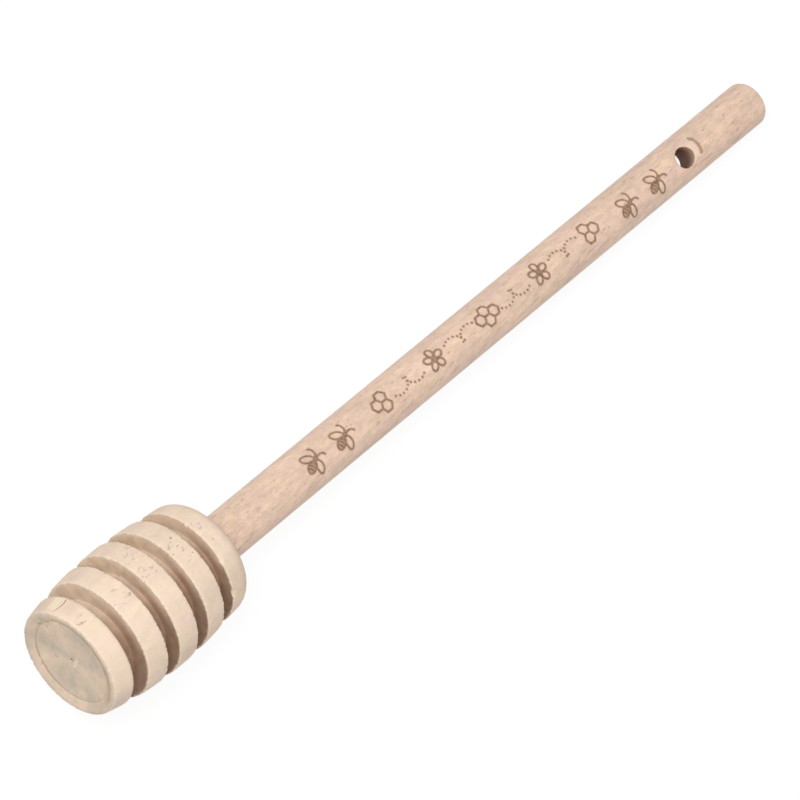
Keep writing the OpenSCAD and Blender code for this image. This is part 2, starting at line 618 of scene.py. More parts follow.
def oval(centre, half_u, half_v, turn=0.0, low=0.0, high=360.0, count=28):
    """Part of an oval whose long side is turned by turn degrees."""
    result = []
    cos_turn = math.cos(math.radians(turn))
    sin_turn = math.sin(math.radians(turn))
    for i in range(count + 1):
        angle = math.radians(low + (high - low) * i / count)
        u = half_u * math.cos(angle)
        v = half_v * math.sin(angle)
        result.append((centre[0] + u * cos_turn - v * sin_turn, centre[1] + u * sin_turn + v * cos_turn))
    return result


def moved(path, du, dv, turn=0.0):
    """A path turned by turn degrees and then moved."""
    cos_turn = math.cos(math.radians(turn))
    sin_turn = math.sin(math.radians(turn))
    return [(du + u * cos_turn - v * sin_turn, dv + u * sin_turn + v * cos_turn) for u, v in path]


# %% A bee
# Drawn as it flies along +u; each stroke is a path and half its width
bee_strokes = [
    (oval((-1.5, 0.0), 1.35, 0.88), 0.21),
    (bend((-0.8, 0.7), (-0.5, 0.0), (-0.8, -0.7)), 0.17),
    (bend((-1.45, 0.8), (-1.1, 0.0), (-1.45, -0.8)), 0.17),
    (bend((-2.1, 0.65), (-1.8, 0.0), (-2.1, -0.65)), 0.17),
    (oval((0.35, 0.0), 0.48, 0.42), 0.14),
    (oval((1.05, 0.0), 0.3, 0.34), 0.14),
    (bend((1.25, 0.3), (1.75, 0.65), (1.95, 1.35)), 0.22),
    (bend((1.95, 1.35), (2.05, 1.75), (1.85, 1.95)), 0.23),
    (bend((1.3, -0.3), (1.85, -0.45), (2.15, -0.95)), 0.21),
    (bend((2.15, -0.95), (2.3, -1.25), (2.2, -1.5)), 0.22),
]
wing_len = 2.85
wing_w = 1.55
for side in (1, -1):
    sweep = 122.0 * side
    root = (0.3 + 0.1 * math.cos(math.radians(sweep)), 0.3 * side)
    middle = (root[0] + wing_len / 2 * math.cos(math.radians(sweep)),
              root[1] + wing_len / 2 * math.sin(math.radians(sweep)))
    bee_strokes.append((oval(middle, wing_len / 2, wing_w / 2, turn=sweep), 0.23))
bee_heading = 29.0
# Middle of each bee: along the rod in mm, and round it in degrees
bees = [(64.9, 5.7), (73.3, 5.5), (159.3, -1.3), (168.4, -0.4)]
print("strokes of a bee:", len(bee_strokes))

# %% Ornament between the bees
# Clusters of comb cells, small flowers, and dotted trails that loop between them
cell_r = 1.28
dot_step = 0.05


def comb(columns):
    """Six-sided cells whose columns have the counts given."""
    paths = []
    pitch_u = cell_r * 1.5
    pitch_v = cell_r * math.sqrt(3)
    for i, count in enumerate(columns):
        for j in range(count):
            middle = ((i - (len(columns) - 1) / 2) * pitch_u, (j - (count - 1) / 2) * pitch_v)
            paths.append(oval(middle, cell_r, cell_r, count=6))
    return paths


def flower():
    """Five round petals about a dot."""
    paths = [oval((0.0, 0.0), 0.3, 0.3, count=10)]
    for i in range(5):
        turn = 90.0 + 72.0 * i
        middle = (1.5 * math.cos(math.radians(turn)), 1.5 * math.sin(math.radians(turn)))
        paths.append(oval(middle, 0.95, 0.7, turn=turn))
    return paths


def trail(side):
    """Dots along a path that loops once."""
    path = []
    for i in range(97):
        turn = (i / 48 - 1) * 4.1
        path.append(Vector((0.78 * turn - 1.25 * math.sin(turn), -1.3 * side * math.cos(turn), 0.0)))
    return [[(dot.x, dot.y)] for dot in spaced(path, dot_step)[::18]]


ornament_middle = (116.1, 10.6)
motif_step = 15.9
ornament = []
for i, motif in enumerate((comb([1, 2]), flower(), comb([1, 2, 1]), flower(), comb([2, 1]))):
    du = ornament_middle[0] + (i - 2) * motif_step
    ornament += [(moved(path, du, 0.0), 0.24) for path in motif]
for i in range(4):
    du = ornament_middle[0] + (i - 1.5) * motif_step
    ornament += [(moved(path, du, 0.0), 0.26) for path in trail(1 if i % 2 else -1)]
print("strokes of the ornament:", len(ornament))

# %% Dots along all the strokes
dots = []
for x, degrees in bees:
    dv = rod_r * math.radians(degrees)
    for path, half in bee_strokes:
        corners = [Vector((u, v, 0.0)) for u, v in moved(path, x, dv, bee_heading)]
        dots += [(spot, half) for spot in spaced(corners, dot_step)]
lift = rod_r * math.radians(ornament_middle[1])
for path, half in ornament:
    dots += [(spot, half) for spot in spaced([Vector((u, v + lift, 0.0)) for u, v in path], dot_step)]
stroke_tree = kdtree.KDTree(len(dots))
for i, (spot, half) in enumerate(dots):
    stroke_tree.insert(spot, i)
stroke_tree.balance()
print("dots:", len(dots))

# %% [markdown]
# ## Marks on the rod
# Each point of the rod is now looked at once. The burn is measured, and the body of
# each bee gets a lighter scorch. The hole's rim is softened, and its wall is known by
# how far it lies below the rod's round. Beside the hole the drill's collar bruised the
# wood in an arc, with a small tick at one end, and pressed it pale inside the arc.
# Each of these is a small function, and the last loop calls them for each point.

# %% Sizes of the marks on the rod
burn_reach = 0.5
burn_depth = 0.09
lip_reach = 0.45
lip_drop = 0.14
bore_dark_at = 5.5
bruise_middle = (177.7, 0.55)
bruise_r = 4.5
bruise_w = 0.8
bruise_span = 33.0
bruise_depth = 0.13
pressed_span = bruise_span + 10.0
tick_place = (181.5, 2.5)
hollow = 0.018

rod_marks = Marks(rod_bm)
burn = rod_marks.channel("burn")
scorch = rod_marks.channel("scorch")
bore = rod_marks.channel("bore")
bore_depth = rod_marks.channel("bore_depth")
pressed = rod_marks.channel("pressed")
bruise = rod_marks.channel("bruise")
rod_end_grain = rod_marks.channel("end_grain")
print("marks on the rod:", sorted(rod_marks.values))

# %% Burn the figures
cos_head = math.cos(math.radians(bee_heading))
sin_head = math.sin(math.radians(bee_heading))


def burn_figures(index, place, u, v):
    """Marks the burn and the scorch, and gives how deep the tool sank."""
    spot, dot, distance = stroke_tree.find(Vector((u, v, 0.0)))
    inside = dots[dot][1] - distance
    burn[index] = max(-burn_reach, inside) + burn_reach
    for x, degrees in bees:
        du = u - x
        dv = v - rod_r * math.radians(degrees)
        ahead = du * cos_head + dv * sin_head
        aside = (-du * sin_head + dv * cos_head) / 0.85
        tail = 1.0 - math.hypot((ahead + 1.45) / 1.3, aside)
        chest = 1.0 - math.hypot((ahead - 0.65) / 0.75, aside * 2.0)
        if max(tail, chest) > -0.3:
            scorch[index] = max(scorch[index], max(tail, chest) + 0.3)
    ragged = 0.6 + 0.4 * noise.noise(place * 2.5)
    return burn_depth * ragged * min(1.0, max(0.0, inside + 0.08) / 0.2)


# %% Bruise the wood beside the hole
def bruise_wood(index, place, u, v):
    """Marks the bruise, the tick and the pressed wood, and gives how deep they are."""
    sunk = 0.0
    du = u - bruise_middle[0]
    dv = v - bruise_middle[1]
    from_mouth = math.hypot(du, dv)
    off_arc = abs(from_mouth - bruise_r)
    round_arc = abs(math.degrees(math.atan2(dv, du)))
    if off_arc < bruise_w and round_arc < bruise_span:
        share = (1.0 - off_arc / bruise_w) * min(1.0, (bruise_span - round_arc) / 8.0)
        rough = 0.85 + 0.5 * noise.noise(Vector((u * 1.2, v * 1.2, 4.0)))
        bruise[index] = share * rough
        sunk = bruise_depth * share * rough
    if hole_r < from_mouth < bruise_r and round_arc < pressed_span:
        soft_edge = min(1.0, (bruise_r - from_mouth) / 1.2, (pressed_span - round_arc) / 15.0)
        pressed[index] = soft_edge * (0.8 + 0.4 * noise.noise(place * 0.9))
    tick = math.hypot((u - tick_place[0]) / 0.35, (v - tick_place[1]) / 0.55)
    if tick < 1.4:
        bruise[index] = max(bruise[index], 1.4 - tick)
    return sunk


# %% Mark the rod
for vert in rod_bm.verts:
    place = vert.co.copy()
    radius = math.hypot(place.y, place.z)
    from_hole = place - hole_middle
    hole_height = from_hole.dot(hole_axis)
    hole_gap = (from_hole - hole_axis * hole_height).length - hole_r
    if hole_gap < 0.02 and abs(hole_height) < drill_len / 2:
        bore[vert.index] = 1.0
        sink = math.sqrt(max(0.0, rod_r ** 2 - place.y ** 2)) - place.z
        bore_depth[vert.index] = min(1.0, max(0.0, sink) / bore_dark_at)
    if radius < rod_r - 0.02:
        if place.x > rod_end - rod_round and hole_gap > 1.0:
            rod_end_grain[vert.index] = min(1.0, (rod_r - radius) / rod_round)
        continue
    outward = Vector((0.0, place.y, place.z)) / radius
    u = place.x
    v = rod_r * angle_of(place)
    drop = hollow * (0.5 + 0.5 * noise.noise(Vector((u * 0.12, place.y * 0.5, place.z * 0.5))))
    if hole_gap < lip_reach:
        drop += lip_drop * (1.0 - max(0.0, hole_gap) / lip_reach) ** 2
    if figures_from - 1 < u < figures_to + 1 and -3.3 < v < 3.6:
        drop += burn_figures(vert.index, place, u, v)
    if 179.5 < u < figures_to:
        drop += bruise_wood(vert.index, place, u, v)
    vert.co -= outward * drop
print("burnt points:", sum(value > burn_reach for value in burn))

handle = finish_piece(rod_bm, "rod_handle", rod_marks.values, "root", "handle")

# %% [markdown]
# ## Wood as a solid texture
# A material that is worked out in space runs through the piece, as real wood does:
# the same growth rings make lines along the side and arcs on the end. Three effects
# are shared by the two woods, so each is a node group: the figure of the wood, short
# dark flecks, and fine grain. Each material puts its own values in.


# %% Small helpers for node trees
def add_node(tree, kind, inputs=None, **settings):
    """Adds a node. An input is a plain value, or the socket that feeds it."""
    made = tree.nodes.new(kind)
    for name, value in settings.items():
        setattr(made, name, value)
    for name, value in (inputs or {}).items():
        if isinstance(value, bpy.types.NodeSocket):
            tree.links.new(value, made.inputs[name])
        else:
            made.inputs[name].default_value = value
    return made


def calc(tree, operation, first, second=0.0):
    """A Math node's result."""
    return add_node(tree, "ShaderNodeMath", {0: first, 1: second}, operation=operation).outputs[0]


def fade(tree, value, low, high, start=0.0, end=1.0):
    """A value that goes smoothly from start to end while the input goes from low to high."""
    made = add_node(tree, "ShaderNodeMapRange", {"Value": value, "From Min": low, "From Max": high,
                    "To Min": start, "To Max": end}, interpolation_type="SMOOTHSTEP")
    return made.outputs["Result"]


def blend(tree, share, under, over, kind="MIX"):
    """Lays one colour over another."""
    made = add_node(tree, "ShaderNodeMix", {0: share, 6: under, 7: over}, data_type="RGBA", blend_type=kind)
    return made.outputs[2]


def lay_over(tree, colour, mask, strength, paint):
    """Lays a paint over a colour where a mask is, at a given strength."""
    return blend(tree, calc(tree, "MULTIPLY", mask, strength), colour, paint)


def stretch(tree, place, scale):
    """A place whose axes are each multiplied."""
    made = add_node(tree, "ShaderNodeVectorMath", {0: place, 1: scale}, operation="MULTIPLY")
    return made.outputs["Vector"]


def cloud(tree, place, detail=3.0, roughness=0.55):
    """Soft noise from 0 to 1."""
    made = add_node(tree, "ShaderNodeTexNoise", {"Vector": place, "Scale": 1.0, "Detail": detail,
                    "Roughness": roughness})
    return made.outputs["Fac"]


def new_group(name, inputs, outputs):
    """A shader node group with named sockets."""
    group = bpy.data.node_groups.new(name, "ShaderNodeTree")
    for label, kind, value in inputs:
        socket = group.interface.new_socket(name=label, in_out="INPUT", socket_type=kind)
        socket.default_value = value
    for label in outputs:
        group.interface.new_socket(name=label, in_out="OUTPUT", socket_type="NodeSocketFloat")
    entry = group.nodes.new("NodeGroupInput")
    leave = group.nodes.new("NodeGroupOutput")
    return group, entry, leave


def use_group(tree, group, inputs):
    """Places a node group with its values."""
    made = tree.nodes.new("ShaderNodeGroup")
    made.node_tree = group
    for name, value in inputs.items():
        if isinstance(value, bpy.types.NodeSocket):
            tree.links.new(value, made.inputs[name])
        else:
            made.inputs[name].default_value = value
    return made


def tint(red, green, blue):
    """A colour from 0 to 255 as it looks on a screen, made linear for the shader."""
    linear = []
    for value in (red, green, blue):
        share = value / 255
        linear.append(share / 12.92 if share <= 0.04045 else ((share + 0.055) / 1.055) ** 2.4)
    return (*linear, 1.0)


# %% Node group: the figure of the wood
# Rings about a pith line that is parallel to x, fine fibres along x, broad patches
figure, entry, leave = new_group("wood figure", [
    ("Place", "NodeSocketVector", (0.0, 0.0, 0.0)), ("Pith", "NodeSocketVector", (0.0, 40.0, 30.0)),
    ("Ring Width", "NodeSocketFloat", 2.0), ("Wander", "NodeSocketFloat", 2.0)],
    ["Rings", "Fibres", "Patches"])
place = entry.outputs["Place"]
drift = add_node(figure, "ShaderNodeTexNoise", {"Vector": stretch(figure, place, (0.02, 0.07, 0.07)),
                 "Scale": 1.0, "Detail": 2.0})
centred = add_node(figure, "ShaderNodeVectorMath", {0: drift.outputs["Color"], 1: (0.5, 0.5, 0.5)},
                   operation="SUBTRACT")
pushed = add_node(figure, "ShaderNodeVectorMath", {0: centred.outputs[0], "Scale": entry.outputs["Wander"]},
                  operation="SCALE")
shifted = add_node(figure, "ShaderNodeVectorMath", {0: place, 1: pushed.outputs[0]}, operation="ADD")
from_pith = add_node(figure, "ShaderNodeVectorMath", {0: shifted.outputs[0], 1: entry.outputs["Pith"]},
                     operation="SUBTRACT")
square_to_x = stretch(figure, from_pith.outputs[0], (0.0, 1.0, 1.0))
across = add_node(figure, "ShaderNodeVectorMath", {0: square_to_x}, operation="LENGTH")
year = calc(figure, "FRACT", calc(figure, "DIVIDE", across.outputs["Value"], entry.outputs["Ring Width"]))
late = calc(figure, "MULTIPLY", calc(figure, "POWER", year, 2.6), fade(figure, year, 0.94, 1.0, 1.0, 0.0))
figure.links.new(late, leave.inputs["Rings"])
figure.links.new(cloud(figure, stretch(figure, place, (0.14, 2.4, 2.4)), 5.0, 0.65), leave.inputs["Fibres"])
figure.links.new(cloud(figure, stretch(figure, place, (0.07, 0.19, 0.19)), 2.0), leave.inputs["Patches"])

# %% Node group: short flecks
# Long thin cells, of which only a share is dark
flecks, entry, leave = new_group("short flecks", [
    ("Place", "NodeSocketVector", (0.0, 0.0, 0.0)), ("Length", "NodeSocketFloat", 2.4),
    ("Width", "NodeSocketFloat", 0.2), ("Share", "NodeSocketFloat", 0.1)], ["Mask"])
long_scale = calc(flecks, "DIVIDE", 0.62, entry.outputs["Length"])
thin_scale = calc(flecks, "DIVIDE", 0.62, entry.outputs["Width"])
fleck_scale = add_node(flecks, "ShaderNodeCombineXYZ", {"X": long_scale, "Y": thin_scale, "Z": thin_scale})
cells = add_node(flecks, "ShaderNodeTexVoronoi",
                 {"Vector": stretch(flecks, entry.outputs["Place"], fleck_scale.outputs[0]), "Scale": 1.0})
lot = add_node(flecks, "ShaderNodeSeparateColor", {0: cells.outputs["Color"]})
chosen = calc(flecks, "LESS_THAN", lot.outputs[0], entry.outputs["Share"])
core = fade(flecks, cells.outputs["Distance"], 0.2, 0.4, 1.0, 0.0)
flecks.links.new(calc(flecks, "MULTIPLY", chosen, core), leave.inputs["Mask"])

# %% Node group: torn fibres
# Short crooked dark lines beside pale ones, as where the fibres lifted
tears, entry, leave = new_group("torn fibres", [
    ("Place", "NodeSocketVector", (0.0, 0.0, 0.0)), ("Size", "NodeSocketFloat", 0.5)], ["Dark", "Pale"])
tear_scale = calc(tears, "DIVIDE", 1.0, entry.outputs["Size"])
tear_place = add_node(tears, "ShaderNodeVectorMath", {0: entry.outputs["Place"], "Scale": tear_scale},
                      operation="SCALE")
crooked = cloud(tears, stretch(tears, tear_place.outputs[0], (0.5, 1.0, 1.0)), 3.0, 0.6)
off_middle = calc(tears, "ABSOLUTE", calc(tears, "SUBTRACT", crooked, 0.5))
spots = fade(tears, cloud(tears, stretch(tears, tear_place.outputs[0], (0.35, 0.6, 0.6)), 2.0), 0.5, 0.6)
tears.links.new(calc(tears, "MULTIPLY", fade(tears, off_middle, 0.0, 0.035, 1.0, 0.0), spots),
                leave.inputs["Dark"])
tears.links.new(calc(tears, "MULTIPLY", fade(tears, crooked, 0.53, 0.6), spots), leave.inputs["Pale"])

# %% Node group: fine grain
# Two sizes of noise, for a surface that is never quite even
grain, entry, leave = new_group("fine grain", [
    ("Place", "NodeSocketVector", (0.0, 0.0, 0.0)), ("Size", "NodeSocketFloat", 0.3)], ["Grain"])
finer = calc(grain, "DIVIDE", 1.0, entry.outputs["Size"])
small = add_node(grain, "ShaderNodeVectorMath", {0: entry.outputs["Place"], "Scale": finer},
                 operation="SCALE")
grain.links.new(cloud(grain, small.outputs[0], 4.0, 0.7), leave.inputs["Grain"])
print("node groups:", [group.name for group in bpy.data.node_groups])

# %% [markdown]
# ## The place inside a material
# Object coordinates are metres in the table's frame. A Mapping node of the Texture
# kind undoes the dipper's lie and size, so a material reads the same millimetres
# along and round the axis as the modelling did. A second Mapping turns the handle's
# grain, which runs out of the dowel at a slant.


# %% Start a wood material
def start_material(name):
    """A new material with its tree, its shader, and the place in the dipper's millimetres."""
    material = bpy.data.materials.new(name)
    material.use_nodes = True
    tree = material.node_tree
    where = add_node(tree, "ShaderNodeTexCoord")
    undo = add_node(tree, "ShaderNodeMapping", {"Vector": where.outputs["Object"], "Location": front,
                    "Rotation": turned_axes.to_euler(), "Scale": (MM, MM, MM)}, vector_type="TEXTURE")
    return material, tree, tree.nodes["Principled BSDF"], undo.outputs["Vector"]


def mark_mask(tree, label, low, high):
    """A mask from one of the attributes that the modelling wrote."""
    read = add_node(tree, "ShaderNodeAttribute", attribute_name=label)
    return fade(tree, read.outputs["Fac"], low, high)


def centred_sum(tree, parts):
    """Adds parts of (value, amount), each taken about its middle of 0.5."""
    total = 1.0
    for value, amount in parts:
        total = calc(tree, "ADD", total, calc(tree, "MULTIPLY", calc(tree, "SUBTRACT", value, 0.5), amount))
    return total


def shade(tree, colour, factor):
    """A colour made lighter or darker by a factor about 1."""
    grey = add_node(tree, "ShaderNodeCombineColor", {0: factor, 1: factor, 2: factor})
    return blend(tree, 1.0, colour, grey.outputs[0], "MULTIPLY")


def bump_of(tree, height, distance, strength):
    """A surface normal from a height, which rises by at most the distance in metres."""
    inputs = {"Height": height, "Distance": distance, "Strength": strength}
    return add_node(tree, "ShaderNodeBump", inputs).outputs["Normal"]


def seen_directly(tree):
    """1 for rays from the camera, also when mirrored or sent through glass."""
    rays = add_node(tree, "ShaderNodeLightPath")
    seen = calc(tree, "MAXIMUM", rays.outputs["Is Camera Ray"], rays.outputs["Is Glossy Ray"])
    return rays, calc(tree, "MAXIMUM", seen, rays.outputs["Is Transmission Ray"])


# %% [markdown]
# ## The head's wood
# The head is pale and creamy, with patches that are a little pinker or yellower, and
# faint lines along the grain. The dish, the walls of the grooves and the rear face
# cut across the fibres. Such end grain soaks up more light and looks browner and
# duller. The lathe leaves fine rings, which the bump shows.

# %% Head wood: what it is made of
head_wood, tree, shader, place = start_material("head wood")
head_figure = use_group(tree, figure, {"Place": place, "Pith": (0.0, -38.0, 22.0), "Ring Width": 3.1,
                                       "Wander": 6.0})
head_flecks = use_group(tree, flecks, {"Place": place, "Length": 0.9, "Width": 0.14, "Share": 0.05})
head_grain = use_group(tree, grain, {"Place": place, "Size": 0.22}).outputs["Grain"]
head_mottle = use_group(tree, grain, {"Place": place, "Size": 1.7}).outputs["Grain"]
head_crumb = use_group(tree, grain, {"Place": place, "Size": 0.6}).outputs["Grain"]
head_tears = use_group(tree, tears, {"Place": place, "Size": 0.55})
cross_cut = mark_mask(tree, "end_grain", 0.55, 0.9)

# %% Head wood: the turned sides
# Near the front rim the wood is cut cleaner, so its mottle is quieter there
warmth = fade(tree, cloud(tree, stretch(tree, place, (0.22, 0.4, 0.4)), 3.0, 0.6), 0.40, 0.60)
side_colour = blend(tree, warmth, tint(250, 224, 203), tint(249, 225, 198))
along_axis = add_node(tree, "ShaderNodeSeparateXYZ", {0: place}).outputs["X"]
quiet = fade(tree, along_axis, 4.0, 8.0, 0.4, 1.0)
side_tone = centred_sum(tree, [
    (head_figure.outputs["Fibres"], 0.08), (head_figure.outputs["Patches"], 0.14),
    (head_mottle, calc(tree, "MULTIPLY", quiet, 0.26)), (head_grain, 0.08)])
side_tone = calc(tree, "SUBTRACT", side_tone, calc(tree, "MULTIPLY", head_figure.outputs["Rings"], 0.04))
stain = mark_mask(tree, "stain", 0.0, 0.6)
side_tone = calc(tree, "SUBTRACT", side_tone, calc(tree, "MULTIPLY", stain, 0.09))
side_colour = shade(tree, side_colour, side_tone)

# %% Head wood: the end grain of the dish and the rear
# The dish's wall is painted browner on one side as shade, and the tool's line has patchy painted shade
cloudy = cloud(tree, stretch(tree, place, (0.2, 0.2, 0.2)), 3.0, 0.6)
end_tone = centred_sum(tree, [(head_mottle, 0.34), (head_grain, 0.26), (cloudy, 0.7)])
end_tone = calc(tree, "SUBTRACT", end_tone, calc(tree, "MULTIPLY", head_figure.outputs["Rings"], 0.05))
wall_shade = mark_mask(tree, "wall_shade", 0.45, 1.0)
bare_end = blend(tree, fade(tree, cloudy, 0.42, 0.6), tint(220, 202, 181), tint(222, 200, 177))
end_colour = shade(tree, blend(tree, wall_shade, bare_end, tint(200, 174, 148)), end_tone)
colour = blend(tree, cross_cut, side_colour, end_colour)
# Painted shade in the tool's cut, patchy and faint on two sides of the dish
line_shade = mark_mask(tree, "line_shade", 0.2, 0.95)
line_gaps = fade(tree, head_mottle, 0.38, 0.58, 0.25, 0.85)
colour = lay_over(tree, colour, line_shade, line_gaps, tint(172, 138, 112))

# %% Head wood: the grooves
# Walls and floors get painted shade: a little browner by depth, much browner on one side, and the floor's
# painted shade reaches further round
blotch = cloud(tree, stretch(tree, place, (0.3, 0.3, 0.3)), 2.0)
groove_tone = centred_sum(tree, [(head_mottle, 0.4), (head_figure.outputs["Fibres"], 0.2), (blotch, 0.5)])
groove_wall_shade = mark_mask(tree, "groove_shade", 0.58, 1.0)
groove_floor_shade = mark_mask(tree, "groove_shade", 0.2, 0.75)
groove_wall = shade(tree, blend(tree, groove_wall_shade, tint(236, 211, 187), tint(160, 128, 105)), groove_tone)
groove_floor = shade(tree, blend(tree, groove_floor_shade, tint(224, 204, 181), tint(178, 146, 123)), groove_tone)
colour = blend(tree, mark_mask(tree, "deep", 0.02, 0.12), colour, groove_wall)
colour = blend(tree, mark_mask(tree, "deep", 0.1, 0.75), colour, groove_floor)

# %% Head wood: tears, crumbs, the split and the pip
torn = mark_mask(tree, "torn", 0.1, 0.5)
torn_dark = calc(tree, "MULTIPLY", torn, head_tears.outputs["Dark"])
torn_pale = calc(tree, "MULTIPLY", torn, head_tears.outputs["Pale"])
crumbs = calc(tree, "MULTIPLY", mark_mask(tree, "edge", 0.0, 0.8), fade(tree, head_crumb, 0.5, 0.62))
flake = mark_mask(tree, "flake", 0.1, 0.8)
split_mask = mark_mask(tree, "split", split_reach - 0.16, split_reach - 0.05)
pip = mark_mask(tree, "pip", 0.15, 0.7)
for mask, strength, paint in ((torn_dark, 0.6, tint(176, 148, 120)), (torn_pale, 0.6, tint(254, 238, 208)),
                              (head_flecks.outputs["Mask"], 0.32, tint(190, 160, 132)),
                              (flake, 0.75, tint(254, 238, 206)), (crumbs, 0.6, tint(255, 240, 216)),
                              (split_mask, 0.9, tint(128, 98, 74)), (pip, 0.75, tint(140, 118, 92))):
    colour = lay_over(tree, colour, mask, strength, paint)
tree.links.new(colour, shader.inputs["Base Color"])

# %% Head wood: the feel of the surface
# The lathe left lines round the sides and rings on the faces
lathe_x = cloud(tree, stretch(tree, place, (5.0, 0.02, 0.02)), 2.0)
face_place = stretch(tree, place, (0.0, 2.6, 2.6))
face_r = add_node(tree, "ShaderNodeVectorMath", {0: face_place}, operation="LENGTH")
face_line = add_node(tree, "ShaderNodeCombineXYZ", {"X": face_r.outputs["Value"]})
lathe_r = cloud(tree, face_line.outputs[0], 2.0)
lathe = add_node(tree, "ShaderNodeMix", {0: cross_cut, 2: lathe_x, 3: lathe_r}).outputs[0]
relief = calc(tree, "ADD", calc(tree, "MULTIPLY", lathe, 0.5),
              calc(tree, "MULTIPLY", head_figure.outputs["Fibres"], 0.7))
relief = calc(tree, "SUBTRACT", relief, calc(tree, "MULTIPLY", torn_dark, 1.2))
relief = calc(tree, "ADD", relief, calc(tree, "MULTIPLY", head_grain, 0.45))
tree.links.new(bump_of(tree, relief, 0.00007, 0.9), shader.inputs["Normal"])
gloss = calc(tree, "ADD", 0.52, calc(tree, "MULTIPLY", head_grain, 0.12))
gloss = calc(tree, "ADD", gloss, calc(tree, "MULTIPLY", cross_cut, 0.12))
tree.links.new(gloss, shader.inputs["Roughness"])
shader.inputs["Specular IOR Level"].default_value = 0.35
head.data.materials.append(head_wood)
print("nodes in the head's wood:", len(tree.nodes))

# %% [markdown]
# ## The handle's wood
# The handle is a pinker wood, with short dark flecks that follow its slanted grain.
# The burnt strokes are brown, darker where the tool paused. The hole's wall is bare
# torn wood, which the deep hole keeps dark, and painted shade makes it browner the
# deeper it lies. Soft grey smudges lie near the head, and dark streaks with painted
# shade lie on one side. Each mark is a mask, and one helper lays its colour over the
# wood, so the marks can be listed in the order in which they were made.

# %% Handle wood: what it is made of
handle_wood, tree, shader, place = start_material("handle wood")
grain_run = Vector((1.0, 0.075, 0.174)).normalized()
run_out = grain_run.to_track_quat("X", "Z").to_euler()
slanted = add_node(tree, "ShaderNodeMapping", {"Vector": place, "Rotation": run_out}, vector_type="TEXTURE")
slanted = slanted.outputs["Vector"]
rod_figure = use_group(tree, figure, {"Place": slanted, "Pith": (0.0, 21.0, -30.0), "Ring Width": 2.3,
                                      "Wander": 4.0})
dashes = use_group(tree, flecks, {"Place": slanted, "Length": 4.2, "Width": 0.17, "Share": 0.055})
dots_fine = use_group(tree, flecks, {"Place": slanted, "Length": 1.6, "Width": 0.11, "Share": 0.14})
rod_grain = use_group(tree, grain, {"Place": place, "Size": 0.2}).outputs["Grain"]
mottle_place = stretch(tree, slanted, (0.5, 1.0, 1.0))
rod_mottle = use_group(tree, grain, {"Place": mottle_place, "Size": 1.1}).outputs["Grain"]

# %% Handle wood: the bare rod
pinkness = fade(tree, cloud(tree, stretch(tree, slanted, (0.16, 0.5, 0.5)), 3.0, 0.6), 0.38, 0.62)
colour = blend(tree, pinkness, tint(240, 209, 181), tint(240, 206, 186))
streaks = cloud(tree, stretch(tree, slanted, (0.10, 0.9, 0.9)), 3.0, 0.6)
tone = centred_sum(tree, [
    (rod_figure.outputs["Fibres"], 0.22), (rod_figure.outputs["Patches"], 0.30), (streaks, 0.30),
    (rod_grain, 0.45), (rod_mottle, 0.62)])
tone = calc(tree, "SUBTRACT", tone, calc(tree, "MULTIPLY", rod_figure.outputs["Rings"], 0.07))
colour = shade(tree, colour, tone)

# %% Handle wood: smudges, streaks and flecks
# Grey smudges lie near the head, red streaks near the end, and dark streaks with painted shade on the -y
# side
position = add_node(tree, "ShaderNodeSeparateXYZ", {0: place})
near_head = fade(tree, position.outputs["X"], 44.0, 64.0, 1.0, 0.0)
smudge = fade(tree, cloud(tree, stretch(tree, place, (0.30, 0.45, 0.45)), 3.0), 0.55, 0.68)
near_end = fade(tree, position.outputs["X"], 168.0, 180.0)
red_streak = fade(tree, cloud(tree, stretch(tree, slanted, (0.16, 1.1, 1.1)), 3.0), 0.55, 0.7)
# Painted shade: the dark streaks are kept to the rod's -y side, the side that the lamp lights least
shaded_side = fade(tree, position.outputs["Y"], -0.8, -3.2)
streaks_and_shade = fade(tree, cloud(tree, stretch(tree, slanted, (0.22, 1.8, 1.8)), 3.0, 0.6), 0.56, 0.68)
end_cut = mark_mask(tree, "end_grain", 0.5, 1.0)
for mask, strength, paint in (
        (calc(tree, "MULTIPLY", smudge, near_head), 0.35, tint(178, 158, 142)),
        (calc(tree, "MULTIPLY", red_streak, near_end), 0.45, tint(226, 172, 146)),
        (dashes.outputs["Mask"], 0.6, tint(158, 122, 100)),
        (dots_fine.outputs["Mask"], 0.25, tint(176, 142, 116)),
        (calc(tree, "MULTIPLY", streaks_and_shade, shaded_side), 0.55, tint(176, 142, 120)),
        (end_cut, 0.35, tint(222, 196, 174))):
    colour = lay_over(tree, colour, mask, strength, paint)

# %% Handle wood: the burnt figures, the bruise and the hole
burn_mask = mark_mask(tree, "burn", burn_reach - 0.14, burn_reach + 0.14)
halo = mark_mask(tree, "burn", burn_reach - 0.45, burn_reach)
scorch_mask = mark_mask(tree, "scorch", 0.22, 0.42)
pressed_mask = mark_mask(tree, "pressed", 0.0, 1.0)
bruise_mask = mark_mask(tree, "bruise", 0.1, 0.75)
pause = fade(tree, cloud(tree, stretch(tree, place, (1.6, 1.6, 1.6)), 3.0, 0.65), 0.42, 0.66)
burnt = blend(tree, pause, tint(156, 119, 92), tint(98, 68, 48))
burnt = shade(tree, burnt, centred_sum(tree, [(rod_figure.outputs["Fibres"], 0.3)]))
for mask, strength, paint in ((halo, 0.15, tint(200, 162, 132)), (scorch_mask, 0.75, tint(172, 135, 107)),
                              (burn_mask, 0.85, burnt), (pressed_mask, 0.7, tint(250, 226, 204)),
                              (bruise_mask, 0.72, tint(152, 118, 94))):
    colour = lay_over(tree, colour, mask, strength, paint)
bore_mask = mark_mask(tree, "bore", 0.2, 0.6)
